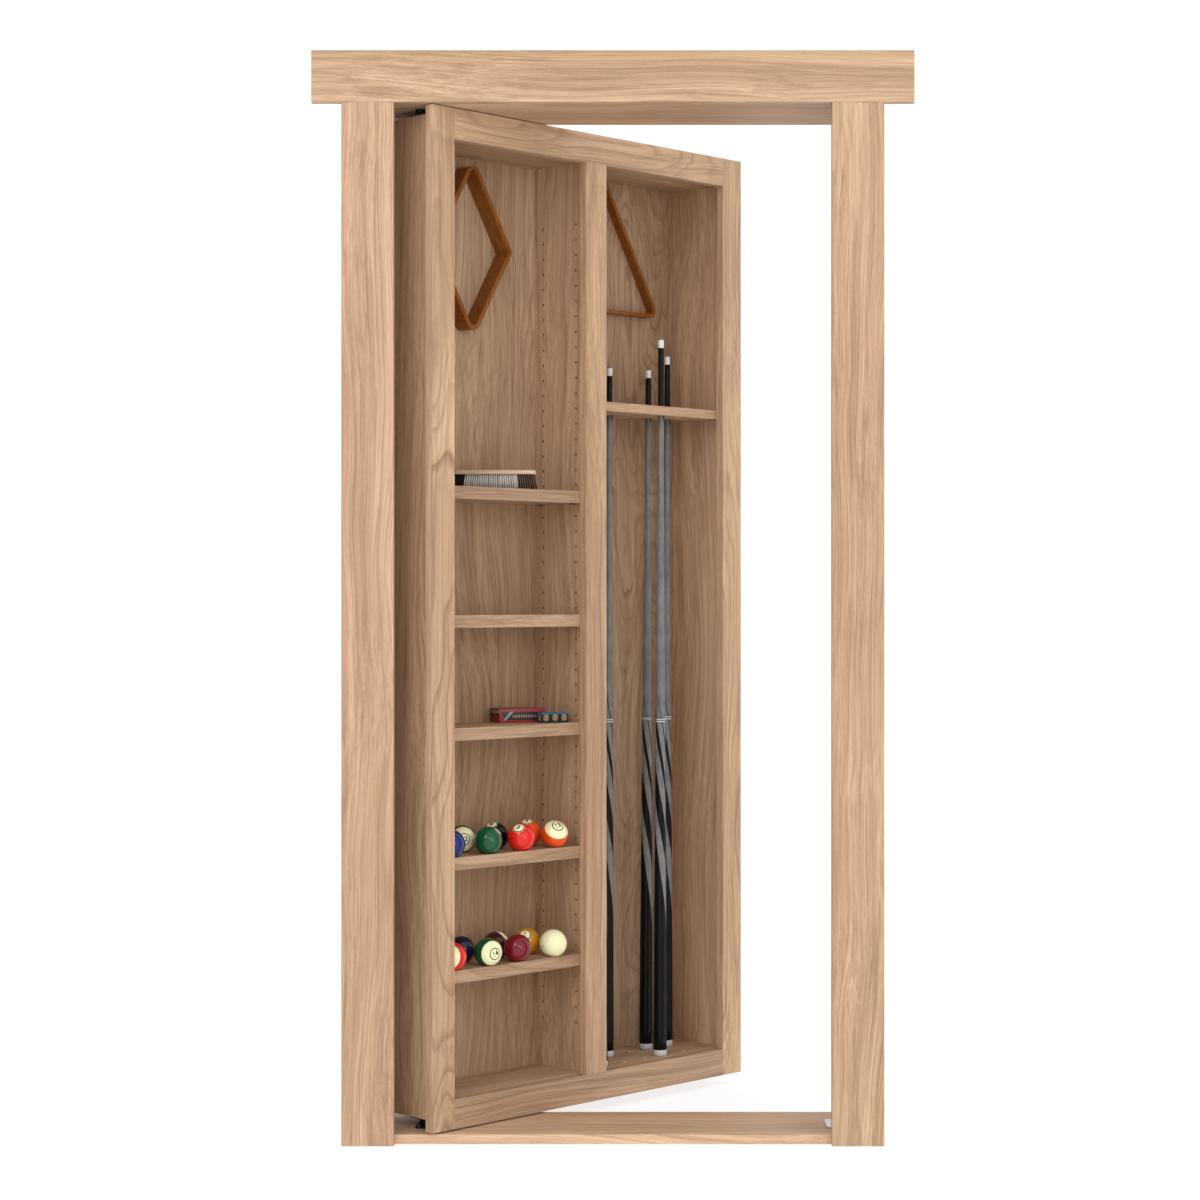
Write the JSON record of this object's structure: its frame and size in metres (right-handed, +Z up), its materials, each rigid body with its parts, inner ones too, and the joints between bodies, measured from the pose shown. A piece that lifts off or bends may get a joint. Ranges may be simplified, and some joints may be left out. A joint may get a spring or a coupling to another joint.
{
  "type": "pivoting cabinet door with cue rack",
  "caption": "Door frame with a pivoting open-fronted cabinet door: shelves with a pin-hole grid on one side, a drilled shelf that holds billiard cues upright on the other.",
  "frame": {"origin": "on the floor under the middle of the sill", "axes": "+Z up, -Y towards the room that the door faces, +X towards the latch side"},
  "size_m": [1.174, 0.762, 2.133],
  "materials": {
    "oak": "satin",
    "rack_wood": "satin",
    "brush_wood": "satin",
    "bristle": "matte",
    "steel": "satin",
    "black_steel": "satin",
    "screw_steel": "satin",
    "bronze": "satin",
    "magnet": "polished",
    "chalk_carton": "satin",
    "chalk_blue": "matte",
    "ball_resin": "gloss",
    "cue_black": "gloss",
    "cue_grey": "gloss",
    "cue_white": "gloss"
  },
  "bodies": {
    "door_frame": {"casing_left": "oak", "casing_right": "oak", "casing_head": "oak", "jamb_left": "oak", "jamb_right": "oak", "jamb_head": "oak", "sill": "oak", "pivot_floor": "black_steel", "pivot_head": "black_steel", "thrust_washer": "bronze", "catch_plate": "steel", "catch_magnet": "magnet", "frame_screws": "screw_steel"},
    "cabinet_door": {"stile_left": "oak", "stile_centre": "oak", "stile_right": "oak", "rail_top": "oak", "rail_bottom": "oak", "side_left": "oak", "side_right": "oak", "divider": "oak", "back_panel": "oak", "top_panel": "oak", "bottom_panel": "oak", "pivot_block_top": "oak", "pivot_block_bottom": "oak", "pivot_socket_top": "black_steel", "pivot_socket_bottom": "black_steel", "door_screws": "screw_steel", "catch_stud": "steel", "shelf_1": "oak", "shelf_2": "oak", "shelf_3": "oak", "shelf_4": "oak", "shelf_5": "oak", "shelf_supports": "screw_steel", "cue_shelf": "oak", "rack_pegs": "rack_wood", "diamond_rack": "rack_wood", "triangle_rack": "rack_wood", "brush_block": "brush_wood", "brush_bristles": "bristle", "chalk_box": "chalk_carton", "chalk_cubes": "chalk_blue", "balls": "ball_resin"},
    "cue_1": {"cue_1_butt": "cue_black", "cue_1_shaft": "cue_grey", "cue_1_trim": "cue_white"},
    "cue_2": {"cue_2_butt": "cue_black", "cue_2_shaft": "cue_grey", "cue_2_trim": "cue_white"},
    "cue_3": {"cue_3_butt": "cue_black", "cue_3_shaft": "cue_grey", "cue_3_trim": "cue_white"},
    "cue_4": {"cue_4_butt": "cue_black", "cue_4_shaft": "cue_grey", "cue_4_trim": "cue_white"},
    "cue_5": {"cue_5_butt": "cue_black", "cue_5_shaft": "cue_grey", "cue_5_trim": "cue_white"}
  },
  "joints": [
    {"name": "door_pivot", "type": "hinge", "parent": "door_frame", "child": "cabinet_door", "pos_m": [-0.3715, -0.0255, 0.04], "axis": [0, 0, 1], "range_deg": [-45, 45]},
    {"name": "cue_1_lift", "type": "slide", "parent": "cabinet_door", "child": "cue_1", "axis": [0, 0, 1], "range_m": [0, 0.05]},
    {"name": "cue_2_lift", "type": "slide", "parent": "cabinet_door", "child": "cue_2", "axis": [0, 0, 1], "range_m": [0, 0.05]},
    {"name": "cue_3_lift", "type": "slide", "parent": "cabinet_door", "child": "cue_3", "axis": [0, 0, 1], "range_m": [0, 0.05]},
    {"name": "cue_4_lift", "type": "slide", "parent": "cabinet_door", "child": "cue_4", "axis": [0, 0, 1], "range_m": [0, 0.05]},
    {"name": "cue_5_lift", "type": "slide", "parent": "cabinet_door", "child": "cue_5", "axis": [0, 0, 1], "range_m": [0, 0.05]}
  ]
}
